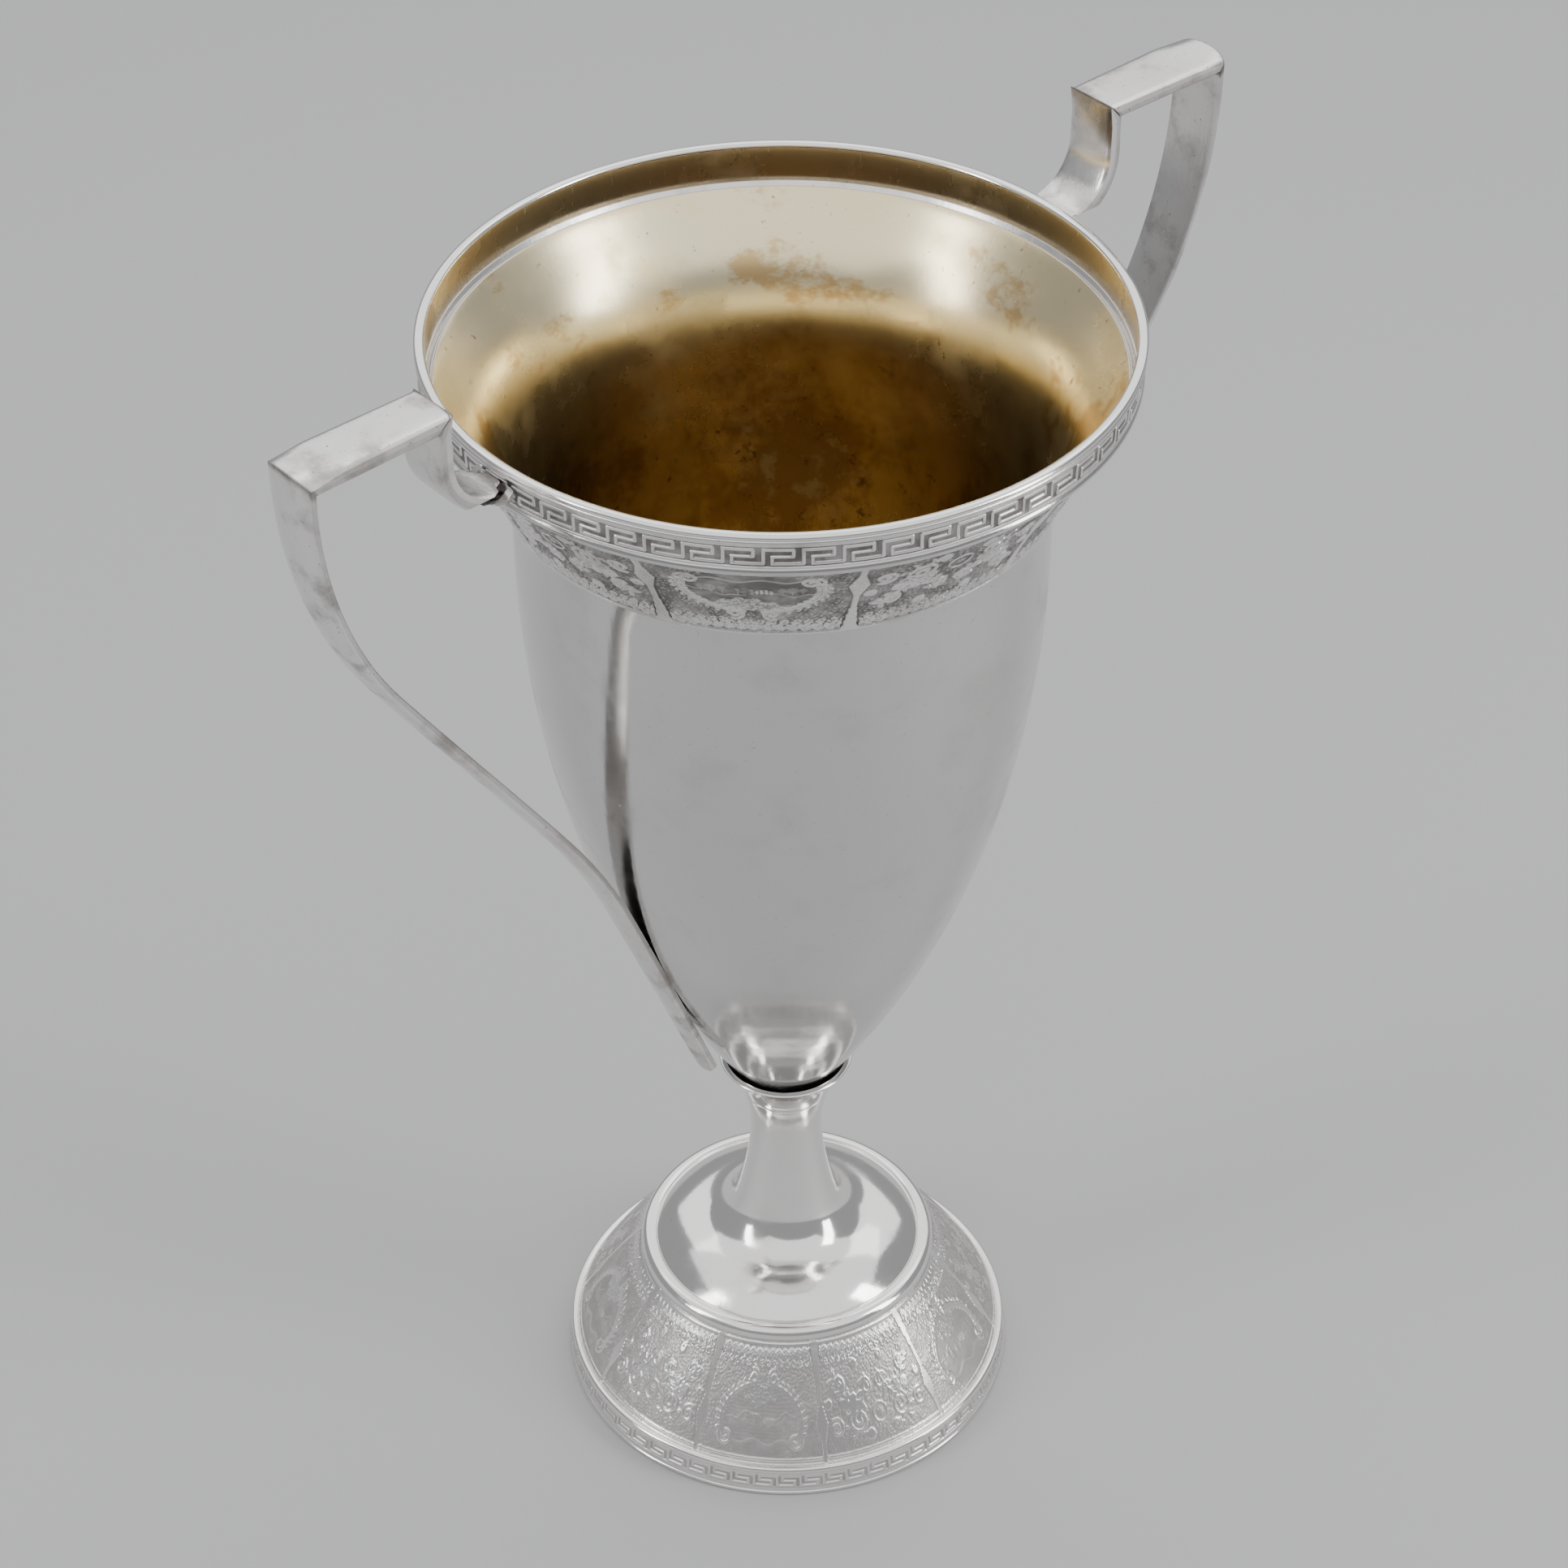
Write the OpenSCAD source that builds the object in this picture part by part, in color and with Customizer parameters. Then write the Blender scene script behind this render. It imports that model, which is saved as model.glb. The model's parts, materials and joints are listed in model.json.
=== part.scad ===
// Two-handled cup trophy: spun bowl on a trumpet foot, with rolled ornament bands and strap handles.
// Origin at the centre of the resting face, +Z up, handles along X.

/* [Bowl] */
// Height of the mouth above the table
mouth_z = 300.6; // [296:0.2:306]
// Largest outer radius of the bowl below the neck
bowl_r = 57.8; // [55:0.1:60]
// Height where the bowl is widest
bowl_widest_z = 246.5; // [242:0.5:250]
// Radius of the long arc of the bowl's side
bowl_side_r = 278; // [272:1:286]
// Height where the long side arc meets the rounded bottom
bowl_heel_z = 97; // [96:0.5:98]
// Radius of the rounded bottom
bowl_heel_r = 12; // [11:0.5:13]
// Height where the neck starts to flare
neck_z = 257; // [255:0.5:259]
// Radius of the neck's flare
neck_flare_r = 40; // [38:1:42]
// Angle of the flare at the lip, from upright
neck_flare_angle = 40; // [38:1:42]
// Height of the bowl's lip inside the mouth
lip_z = 290; // [289:0.2:291]
// Thickness of the spun sheet
sheet_t = 1.0; // [0.8:0.1:1.2]

/* [Mouth bands] */
// Outer radius of the key border at its lower edge
key_low_r = 75.2; // [74.8:0.1:75.4]
// Outer radius of the key border at its upper edge
key_high_r = 75.6; // [75.2:0.1:75.8]
// Height of the key border's lower edge
key_low_z = 291.6; // [291:0.1:292]
// Height of the key border's upper edge
key_high_z = 298.4; // [298:0.1:299]
// Inner radius of the key border
key_bore_r = 74.2; // [74:0.1:74.4]
// Half width of the rim wire's oval section
rim_wire_w = 1.15; // [1:0.05:1.3]
// Outer radius of the flared panel band at its lower edge
panel_low_r = 60.0; // [59.8:0.1:60.4]
// Height of the panel band's lower edge
panel_low_z = 265; // [264:0.5:266]
// Thickness of the rolled ornament strip
strip_t = 0.9; // [0.7:0.1:1.1]
// How far the panel's outline bows in from a straight line
panel_bow = 0.8; // [0.4:0.1:1.2]

/* [Foot] */
// Outer radius of the foot at the table
foot_r = 55.2; // [54:0.1:57]
// Outer radius of the base key border at its upper edge
base_key_high_r = 53.8; // [53.4:0.1:54]
// Height of the base key border's upper edge
base_key_high_z = 6.6; // [6.2:0.1:7]
// Radius of the half-round wire round the skirt
skirt_wire_r = 1.0; // [0.8:0.1:1.1]
// Outer radius of the skirt panel at its upper edge
skirt_high_r = 35.6; // [35.2:0.1:36]
// Height of the skirt panel's upper edge
skirt_high_z = 33.4; // [33:0.1:34]
// Radius of the foot's bead section
bead_r = 2.4; // [2.2:0.1:2.6]
// Radius from the axis to the middle of the bead
bead_mid_r = 33.8; // [33.4:0.1:34]
// Height of the middle of the bead
bead_mid_z = 34.7; // [34.5:0.1:35]

/* [Stem] */
// Radius at the stem's waist
waist_r = 8.6; // [8.2:0.1:9]
// Height of the stem's waist
waist_z = 74; // [73:0.5:75]
// Height of the stem's upper end
stem_top_z = 86; // [85.5:0.5:86.5]
// Radius of the arc above the waist
stem_upper_arc_r = 37; // [35:1:40]
// Radius of the arc below the waist
stem_lower_arc_r = 70; // [66:1:74]
// Height where the lower arc meets the tight flare
flare_z = 51; // [50.5:0.5:51.5]
// Radius of the tight flare
flare_arc_r = 13; // [12.5:0.5:13.5]
// Outer radius of the calyx lip
calyx_lip_r = 16.0; // [15.6:0.1:16.6]
// Height of the calyx lip
calyx_lip_z = 96.0; // [95.4:0.1:96.6]

/* [Handles] */
// Distance from the axis to the outer face of the strap at its top
handle_reach = 124.4; // [122:0.2:127]
// Height of the handle's flat top
handle_top_z = 320.4; // [319:0.2:322]
// Width of the strap at the outer top corner
strap_top_w = 14; // [13:0.5:15]
// Width of the strap at its lower tip
strap_tip_w = 6; // [5:0.5:7]
// Width of the bar at the inner top corner
riser_w = 12.4; // [11.5:0.1:13]
// Thickness of the strap
strap_t = 2.8; // [2.6:0.1:3]
// Thickness of the top bar and the riser
bar_t = 3.6; // [3.4:0.1:3.8]
// Distance from the axis to the riser's inner face
riser_s = 88.8; // [88:0.2:90]
// Radius of the riser's bend, on its inner face
riser_bend_r = 11; // [10:0.5:11.5]
// Height of the riser's foot, at its upper face
riser_foot_z = 297.2; // [296.6:0.1:297.4]
// Height where the strap's upper arc starts
strap_arc_z = 314; // [312:0.5:315]
// Radius of the strap's upper arc
strap_arc_r = 100; // [96:1:104]
// Steepest lean of the strap, from upright
strap_lean = 34; // [33:0.5:35]
// Radius of the strap's lower arc
strap_low_arc_r = 180; // [160:5:200]
// Height where the strap is soldered to the bowl
strap_touch_z = 143; // [138:1:148]
// Height of the strap's lower tip
strap_tip_z = 107; // [105:0.5:110]

/* [Fasteners] */
// Radius of the tie stud's M6 thread
stud_r = 3; // [3:0.5:3]
// Nut size across its flats
nut_af = 10; // [10:0.5:11]
// Height of the nut
nut_h = 5; // [4.5:0.5:5.5]

/* [Hidden] */

// Facets round a full turn; the solids themselves are true surfaces of revolution
turn_fn = 180;
// Clearance of the stud in the holes that it passes
stud_play = 0.3;
// Depth of the solder contact between handle and bowl
solder_bite = 0.15;

// --- Helper functions ---
// Points along an arc about (cx, cz), from angle a0 to a1 in degrees
function arc(cx, cz, r, a0, a1, steps) =
    [for (i = [0 : steps]) let (a = a0 + (a1 - a0) * i / steps) [cx + r * cos(a), cz + r * sin(a)]];
// A list in reverse order
function reversed(points) = [for (i = [len(points) - 1 : -1 : 0]) points[i]];
// A shallow arc from p to q that bows to the left of that direction by b
function bowed(p, q, b, steps) =
    let (d = q - p, chord = norm(d), n = [-d[1], d[0]] / chord)
    [for (i = [0 : steps]) let (u = i / steps) p + d * u + n * 4 * b * u * (1 - u)];
// Every point of a list moved by v
function shifted(points, v) = [for (p = points) p + v];

// --- Bowl outline ---
heel_angle = asin((bowl_widest_z - bowl_heel_z) / bowl_side_r);
heel_edge_r = bowl_r - bowl_side_r * (1 - cos(heel_angle));
heel_mid_r = heel_edge_r - bowl_heel_r * cos(heel_angle);
heel_mid_z = bowl_heel_z + bowl_heel_r * sin(heel_angle);
bowl_bottom_z = heel_mid_z - bowl_heel_r;
flare_end_z = neck_z + neck_flare_r * sin(neck_flare_angle);
flare_end_r = bowl_r + neck_flare_r * (1 - cos(neck_flare_angle));
lip_r = flare_end_r + (lip_z - flare_end_z) * tan(neck_flare_angle);
// The bowl's outer surface, or at inset t its inner one, from the middle of the bottom to the lip
function bowl_curve(t) = concat(
    [[0, bowl_bottom_z + t]],
    arc(heel_mid_r, heel_mid_z, bowl_heel_r - t, -90, -heel_angle, 8),
    arc(bowl_r - bowl_side_r, bowl_widest_z, bowl_side_r - t, -heel_angle, 0, 26),
    arc(bowl_r + neck_flare_r, neck_z, neck_flare_r + t, 180, 180 - neck_flare_angle, 12),
    [[lip_r - t * cos(neck_flare_angle), lip_z + t * sin(neck_flare_angle)]]);
// Outer radius of the bowl at a height on its long side arc
function bowl_radius(z) = bowl_r - bowl_side_r + sqrt(pow(bowl_side_r, 2) - pow(bowl_widest_z - z, 2));

// --- Stem outline ---
stem_top_r = waist_r + stem_upper_arc_r - sqrt(pow(stem_upper_arc_r, 2) - pow(stem_top_z - waist_z, 2));
flare_angle = asin((waist_z - flare_z) / stem_lower_arc_r);
flare_r = waist_r + stem_lower_arc_r * (1 - cos(flare_angle));
// Where the tight flare ends and the low dome starts, measured from upright
dome_angle = 72;
dome_r = flare_r + flare_arc_r * (cos(flare_angle) - cos(dome_angle));
dome_z = flare_z - flare_arc_r * (sin(dome_angle) - sin(flare_angle));
dome_bow = 0.9;
dome_edge = [bead_mid_r - bead_r + 0.9, bead_mid_z + 2.1];
flare_mid = [flare_r + flare_arc_r * cos(flare_angle), flare_z + flare_arc_r * sin(flare_angle)];
// Thickness of the spun stem and dome
stem_t = sheet_t + 0.2;
// The trumpet's surface at inset t, from height top down to the dome's edge
function trumpet_curve(t, top) = concat(
    arc(waist_r + stem_upper_arc_r, waist_z, stem_upper_arc_r + t,
        180 - asin((top - waist_z) / (stem_upper_arc_r + t)), 180, 6),
    arc(waist_r + stem_lower_arc_r, waist_z, stem_lower_arc_r + t, 180, 180 + flare_angle, 8),
    arc(flare_mid[0], flare_mid[1], flare_arc_r + t, 180 + flare_angle, 180 + dome_angle, 9),
    shifted(bowed([dome_r, dome_z], dome_edge, dome_bow, 6), [0, -t * 1.1]));

// --- Handle outline, in the plane of the handles: s from the axis, z up ---
touch_angle = asin((bowl_widest_z - strap_touch_z) / bowl_side_r);
touch_normal = [cos(touch_angle), -sin(touch_angle)];
// The strap's lower straight run lies this far along touch_normal, on its outer face
low_run = touch_normal * [bowl_radius(strap_touch_z), strap_touch_z] + strap_t - solder_bite;
upper_arc_end = [handle_reach - strap_arc_r * (1 - cos(strap_lean)), strap_arc_z - strap_arc_r * sin(strap_lean)];
lean_change = strap_lean - touch_angle;
lean_run = (touch_normal * upper_arc_end - low_run - strap_low_arc_r * (1 - cos(lean_change)))
    / sin(lean_change);
low_arc_start = upper_arc_end - lean_run * [sin(strap_lean), cos(strap_lean)];
low_arc_mid = low_arc_start + strap_low_arc_r * [cos(strap_lean), -sin(strap_lean)];
low_arc_end = low_arc_mid - strap_low_arc_r * [cos(touch_angle), -sin(touch_angle)];
tip = low_arc_end - (low_arc_end[1] - strap_tip_z) * [tan(touch_angle), 1];
// The strap's outer face, or at inset t its inner one, from the top corner down to the tip
function strap_curve(t) = concat(
    arc(handle_reach - strap_arc_r, strap_arc_z, strap_arc_r - t, 0, -strap_lean, 16),
    arc(low_arc_mid[0], low_arc_mid[1], strap_low_arc_r + t, 180 - strap_lean, 180 - touch_angle, 6),
    [tip - t * touch_normal]);
riser_bend_mid = [riser_s - riser_bend_r, riser_foot_z + riser_bend_r];

// --- Outlines of the ornament strips ---
// A strip leans about this far, so it is thicker across than through
strip_lean = 30;
strip_across = strip_t / cos(strip_lean);
// The mouth's panel strip ends this far in from and below the key border's face
panel_set = [0.1, 0.5];
panel_low = [panel_low_r, panel_low_z];
panel_high = [key_low_r, key_low_z] - panel_set;
// The strip's lower edge is turned in until it meets the neck, with room for a hair of solder
solder_film = 0.02;
panel_seat_r = bowl_r + neck_flare_r - sqrt(pow(neck_flare_r, 2) - pow(panel_low_z - neck_z, 2)) + solder_film;
panel_outline = concat(
    bowed(panel_low, panel_high, panel_bow, 10),
    shifted(reversed(bowed(panel_low, panel_high, panel_bow, 10)), [-strip_across, 0]),
    [[panel_seat_r, panel_low_z]]);
key_cap_h = 1;
key_top_z = key_high_z + key_cap_h;
// The reed along the key border's upper edge stands this far proud of its face
reed_r = 0.6;
reed_mid = [key_high_r - 0.2, key_high_z + 0.35];
reed_angle = acos((key_high_r - reed_mid[0]) / reed_r);
key_low = [key_low_r, key_low_z];
key_outline = concat([[key_bore_r, panel_high[1]], panel_high, key_low],
    arc(reed_mid[0], reed_mid[1], reed_r, -reed_angle, reed_angle, 10),
    [[key_high_r, key_top_z], [key_bore_r, key_top_z]]);
// The skirt stands on the base border, set in from its face
skirt_set = 0.5;
skirt_low = [base_key_high_r - skirt_set, base_key_high_z];
skirt_high = [skirt_high_r, skirt_high_z];
skirt_outline = concat(
    bowed(skirt_low, skirt_high, -panel_bow, 10),
    shifted(reversed(bowed(skirt_low, skirt_high, -panel_bow, 10)), [-strip_across, 0]));
base_key_t = strip_t * 1.4;
edge_wire_h = 1.2;
base_key_low_r = foot_r - 0.3;

// --- Parts of the bowl and its mouth ---
module lathe(outline) rotate_extrude($fn = turn_fn) polygon(outline);

module half_round_ring(mid_r, mid_z, r) {
    translate([0, 0, mid_z]) rotate_extrude($fn = turn_fn) translate([mid_r, 0]) circle(r, $fn = 36);
}

module bowl() {
    color("gainsboro") lathe(concat(bowl_curve(0), reversed(bowl_curve(sheet_t))));
}

// The flared strip below the key border, with its lower edge turned in to the bowl
module panel_band_mouth() color("darkgray") lathe(panel_outline);

// The half-round wire soldered over the joint of the two mouth strips
module neck_wire() {
    wire_rise = 0.65;
    on_panel = 0.2;
    on_key = 0.12;
    below = panel_high + (panel_outline[9] - panel_high) * on_panel;
    above = key_low + (key_outline[3] - key_low) * on_key;
    color("silver") lathe(concat([panel_high], bowed(below, above, -wire_rise, 10), [key_low]));
}

// The upright key border, with a reed along its upper edge
module key_band_mouth() color("darkgray") lathe(key_outline);

// The oval wire that finishes the mouth, filed flat where it sits on the key border
module rim_wire() {
    squash = 0.7;
    bore_gap = 0.65;
    half_h = squash * rim_wire_w;
    mid = [key_bore_r + bore_gap, mouth_z - half_h];
    flat_angle = asin((mid[1] - key_top_z) / half_h);
    steps = 24;
    color("silver") lathe([for (i = [0 : steps])
        let (a = -flat_angle + (180 + 2 * flat_angle) * i / steps)
        mid + [rim_wire_w * cos(a), half_h * sin(a)]]);
}

// --- Handles: a bent riser, a top bar and a tapering strap, mitred at both top corners ---
// A flat outline in the handle plane, made into a bar of width w across that plane
module across(w) rotate([90, 0, 0]) translate([0, 0, -w / 2]) linear_extrude(w) children();

// The wedge that trims the strap from its top width to its tip width
module strap_taper() {
    across_y = [strap_top_w / 2, strap_tip_w / 2];
    rotate([90, 0, 90]) linear_extrude(handle_reach + 10) polygon([
        [-across_y[0], handle_top_z], [across_y[0], handle_top_z],
        [across_y[1], strap_tip_z - 2], [-across_y[1], strap_tip_z - 2]]);
}

// The strap, from the outer mitre down to its tip on the bowl
module strap() {
    corner = [handle_reach, handle_top_z];
    inner_corner = corner - [strap_t, bar_t];
    color("lightgray") difference() {
        intersection() {
            across(strap_top_w + 2) polygon(concat([corner], strap_curve(0),
                reversed(strap_curve(strap_t)), [inner_corner]));
            strap_taper();
        }
        lathe(concat(bowl_curve(0), [[0, lip_z]]));
    }
}

// The top bar, wider at its outer end
module bar() {
    outer = [handle_reach, handle_top_z];
    inner = [riser_s, handle_top_z];
    color("lightgray") intersection() {
        across(strap_top_w + 2) polygon([inner, outer, outer - [strap_t, bar_t], inner + [bar_t, -bar_t]]);
        linear_extrude(handle_top_z + 10) polygon([
            [riser_s - 1, -riser_w / 2], [handle_reach + 1, -strap_top_w / 2],
            [handle_reach + 1, strap_top_w / 2], [riser_s - 1, riser_w / 2]]);
    }
}

// The riser, from the inner mitre down round its bend to the key border
module riser() {
    foot_s = key_low_r - 0.3;
    bend = riser_bend_mid;
    color("lightgray") difference() {
        across(riser_w) polygon(concat(
            [[riser_s, handle_top_z]],
            arc(bend[0], bend[1], riser_bend_r, 0, -90, 9),
            [[foot_s, riser_foot_z], [foot_s, riser_foot_z - bar_t]],
            arc(bend[0], bend[1], riser_bend_r + bar_t, -90, 0, 9),
            [[riser_s + bar_t, handle_top_z - bar_t]]));
        lathe(key_outline);
    }
}

module handle_left_riser() mirror([1, 0, 0]) riser();
module handle_left_bar() mirror([1, 0, 0]) bar();
module handle_left_strap() mirror([1, 0, 0]) strap();
module handle_right_riser() riser();
module handle_right_bar() bar();
module handle_right_strap() strap();

// --- Stem ---
boss_r = 5;

// The threaded boss soldered under the bowl
module bowl_boss() {
    color("peru") difference() {
        translate([0, 0, stem_top_z]) cylinder(h = bowl_bottom_z - stem_top_z, r = boss_r, $fn = 64);
        translate([0, 0, stem_top_z - 1]) cylinder(h = bowl_bottom_z - stem_top_z - 0.5, r = stud_r, $fn = 64);
    }
}

// The small cup between the stem and the bowl; its seat follows the bowl's rounded bottom
module calyx() {
    lip_t = 1.5;
    lip_round = 0.3;
    outer_bow = 0.7;
    inner_bow = 0.5;
    seat = [for (i = [1 : 4]) bowl_curve(0)[i + 1]];
    lip_in = [calyx_lip_r - lip_t, calyx_lip_z - lip_round];
    color("gainsboro") lathe(concat(
        [[seat[0][0], stem_top_z], [stem_top_r, stem_top_z]],
        bowed([stem_top_r, stem_top_z], [calyx_lip_r, calyx_lip_z - lip_round], outer_bow, 6),
        [[calyx_lip_r - lip_round, calyx_lip_z], [calyx_lip_r - lip_t, calyx_lip_z]],
        bowed(lip_in, seat[3], inner_bow, 6),
        [seat[2], seat[1], seat[0]]));
}

// The spun stem and domed foot, open below, with a plug at the top that the stud passes
module stem_trumpet() {
    plug_h = 5;
    plug_r = waist_r - 0.9;
    top_t = 1;
    skirt_drop = 2.4;
    edge = [dome_edge, dome_edge - [0, skirt_drop], dome_edge - [sheet_t, skirt_drop]];
    color("gainsboro") difference() {
        union() {
            lathe(concat([[plug_r - 1, stem_top_z]], trumpet_curve(0, stem_top_z), edge,
                reversed(trumpet_curve(stem_t, stem_top_z - top_t)), [[plug_r - 1, stem_top_z - top_t]]));
            translate([0, 0, stem_top_z - plug_h]) cylinder(h = plug_h, r = plug_r, $fn = 64);
        }
        translate([0, 0, stem_top_z - plug_h - 1])
            cylinder(h = plug_h + 2, r = stud_r + stud_play, $fn = 64);
    }
}

// --- Foot ---
// The bead, fitted round the dome's edge and standing on the skirt
module foot_bead() {
    color("gainsboro") difference() {
        half_round_ring(bead_mid_r, bead_mid_z, bead_r);
        translate([0, 0, bead_mid_z - 2 * bead_r]) cylinder(h = 4 * bead_r, r = dome_edge[0], $fn = turn_fn);
        translate([0, 0, skirt_high_z - 2 * bead_r])
            cylinder(h = 2 * bead_r, r = bead_mid_r + 2 * bead_r, $fn = turn_fn);
    }
}

// The flared strip of the foot, the mouth's panel band the other way up
module panel_band_skirt() color("darkgray") lathe(skirt_outline);

// The wire soldered in the corner between the skirt and the base border
module skirt_wire() {
    corner_in = 0.3;
    corner_up = 0.7;
    mid = [base_key_high_r - corner_in, base_key_high_z + corner_up];
    foot_angle = -asin((mid[1] - base_key_high_z) / skirt_wire_r);
    top_angle = 110;
    on_skirt = skirt_low + (skirt_outline[1] - skirt_low) * 0.5;
    color("silver") lathe(concat([skirt_low],
        arc(mid[0], mid[1], skirt_wire_r, foot_angle, top_angle, 14), [on_skirt]));
}

module key_band_base() {
    color("darkgray") lathe([[base_key_low_r - base_key_t, edge_wire_h], [base_key_low_r, edge_wire_h],
        [base_key_high_r, base_key_high_z], [base_key_high_r - base_key_t, base_key_high_z]]);
}

// The flat wire that the trophy stands on
module foot_edge_wire() {
    edge_w = 2.2;
    under_cut = 0.4;
    under_rise = 0.5;
    top_drop = 0.3;
    color("silver") lathe([[foot_r - edge_w, 0], [foot_r - under_cut, 0], [foot_r, under_rise],
        [foot_r, edge_wire_h - top_drop], [base_key_low_r, edge_wire_h], [foot_r - edge_w, edge_wire_h]]);
}

// --- Fasteners inside the stem ---
plate_z = 44;
plate_t = 1.6;
washer_t = 1.4;
// The plate's upper edge bears on the inside of the tight flare
plate_r = flare_mid[0] - sqrt(pow(flare_arc_r + stem_t, 2) - pow(flare_mid[1] - plate_z - plate_t, 2));

module tie_stud() {
    thread_out = 3;
    bottom_z = plate_z - washer_t - nut_h - thread_out;
    color("peru") translate([0, 0, bottom_z])
        cylinder(h = bowl_bottom_z - 2 - bottom_z, r = stud_r - 0.02, $fn = 64);
}

// The plate that bears inside the trumpet
module clamp_plate() {
    color("peru") difference() {
        translate([0, 0, plate_z]) cylinder(h = plate_t, r = plate_r, $fn = 64);
        translate([0, 0, plate_z - 1]) cylinder(h = plate_t + 2, r = stud_r + stud_play, $fn = 64);
    }
}

module spring_washer() {
    color("dimgray") difference() {
        translate([0, 0, plate_z - washer_t]) cylinder(h = washer_t, r = 5.6, $fn = 64);
        translate([0, 0, plate_z - washer_t - 1])
            cylinder(h = washer_t + 2, r = stud_r + stud_play, $fn = 64);
    }
}

module stud_nut() {
    nut_z = plate_z - washer_t - nut_h;
    color("peru") translate([0, 0, nut_z]) difference() {
        cylinder(h = nut_h, r = nut_af / sqrt(3), $fn = 6);
        translate([0, 0, -1]) cylinder(h = nut_h + 2, r = stud_r, $fn = 64);
    }
}

bowl();
panel_band_mouth();
neck_wire();
key_band_mouth();
rim_wire();
handle_left_riser();
handle_left_bar();
handle_left_strap();
handle_right_riser();
handle_right_bar();
handle_right_strap();
bowl_boss();
calyx();
stem_trumpet();
foot_bead();
panel_band_skirt();
skirt_wire();
key_band_base();
foot_edge_wire();
tie_stud();
clamp_plate();
spring_washer();
stud_nut();
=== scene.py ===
import json
import math

import bpy
import numpy as np
from mathutils import Matrix, Vector

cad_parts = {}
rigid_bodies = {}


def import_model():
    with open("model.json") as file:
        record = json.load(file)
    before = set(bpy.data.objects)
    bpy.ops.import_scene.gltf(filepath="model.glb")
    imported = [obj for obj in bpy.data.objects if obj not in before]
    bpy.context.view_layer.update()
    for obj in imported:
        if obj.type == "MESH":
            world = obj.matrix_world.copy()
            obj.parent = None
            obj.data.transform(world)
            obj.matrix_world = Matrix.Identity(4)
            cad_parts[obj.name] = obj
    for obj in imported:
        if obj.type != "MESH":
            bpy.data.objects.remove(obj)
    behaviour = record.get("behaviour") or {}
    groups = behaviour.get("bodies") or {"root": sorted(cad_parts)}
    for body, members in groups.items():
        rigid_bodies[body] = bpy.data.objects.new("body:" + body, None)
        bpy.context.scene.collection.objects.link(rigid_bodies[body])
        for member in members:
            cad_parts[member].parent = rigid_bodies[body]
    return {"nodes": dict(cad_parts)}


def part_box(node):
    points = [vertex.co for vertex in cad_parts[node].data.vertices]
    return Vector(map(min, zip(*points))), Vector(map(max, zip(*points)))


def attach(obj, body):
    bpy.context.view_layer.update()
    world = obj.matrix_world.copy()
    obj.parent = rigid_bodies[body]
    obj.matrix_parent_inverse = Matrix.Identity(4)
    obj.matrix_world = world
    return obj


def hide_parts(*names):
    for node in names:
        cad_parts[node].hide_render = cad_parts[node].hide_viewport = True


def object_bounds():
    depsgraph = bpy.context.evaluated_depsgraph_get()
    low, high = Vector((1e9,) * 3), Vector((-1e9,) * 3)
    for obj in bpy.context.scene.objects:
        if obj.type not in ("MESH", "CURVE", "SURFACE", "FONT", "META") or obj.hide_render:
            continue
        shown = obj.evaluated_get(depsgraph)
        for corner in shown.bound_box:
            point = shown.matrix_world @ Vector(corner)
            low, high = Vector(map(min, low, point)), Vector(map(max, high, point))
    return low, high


for leftover in list(bpy.data.objects):
    bpy.data.objects.remove(leftover)

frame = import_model()
cad_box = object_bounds()

MM = 0.001
TURN = 2 * math.pi
# Direction of the camera round the cup, and the places of the panel dividers from it
FACING = math.radians(-131.0)
PANELS = 10
MOUTH_DIVIDER = FACING + math.radians(12.7)
FOOT_DIVIDER = FACING + math.radians(10.0)
KEYS_PER_PANEL = 6
KEY_START = FACING + math.radians(3.1)
# The size that a panel's pattern is drawn at, across and up
PANEL_W, PANEL_H = 40.0, 28.0
# How deep the ground of each strip lies below its relief
MOUTH_RELIEF, SKIRT_RELIEF = 0.0005, 0.00024
MOUTH_KEY_RELIEF, BASE_KEY_RELIEF = 0.0003, 0.00028
# Distance between points up the face of each strip, and the number of points round it
PANEL_STEP, MOUTH_KEY_STEP, BASE_KEY_STEP = 0.00026, 0.00018, 0.0002
PANEL_ROUND, MOUTH_KEY_ROUND, BASE_KEY_ROUND = 1500, 2400, 1800
BOWL_ROUND, RING_ROUND = 256, 288
# The reed along the upper edge of the mouth's key border
REED_H = 0.0013
# An edge that turns more than this many degrees stays sharp
CORNER = 24.0


# --- Outlines, read back from the CAD nodes ---
def node_mesh(node):
    mesh = frame["nodes"][node].data
    points = np.array([v.co for v in mesh.vertices], float)
    faces = [(tuple(p.vertices), tuple(p.normal)) for p in mesh.polygons]
    return points, faces


def ring(pairs):
    """Walks a graph of outline points, each with two neighbours, into order."""
    links = {}
    for a, b in pairs:
        links.setdefault(a, set()).add(b)
        links.setdefault(b, set()).add(a)
    ends = [k for k, v in links.items() if len(v) == 1]
    here = min(ends) if ends else min(links)
    path, seen = [here], {here}
    while True:
        onward = sorted(k for k in links[here] if k not in seen)
        if not onward:
            return path
        here = onward[0]
        seen.add(here)
        path.append(here)


def turned_outline(node):
    """The (radius, height) outline of a CAD solid of revolution, in order."""
    points, faces = node_mesh(node)
    flat = [(round(math.hypot(p[0], p[1]), 5), round(float(p[2]), 5)) for p in points]
    pairs = set()
    for corners, _ in faces:
        for i, a in enumerate(corners):
            b = corners[i - 1]
            if flat[a] != flat[b]:
                pairs.add(tuple(sorted((flat[a], flat[b]))))
    outline = np.array(ring(pairs))
    r, z = outline[:, 0], outline[:, 1]
    area = np.sum(r * np.roll(z, -1) - np.roll(r, -1) * z)
    return outline if area > 0 else outline[::-1]


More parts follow.
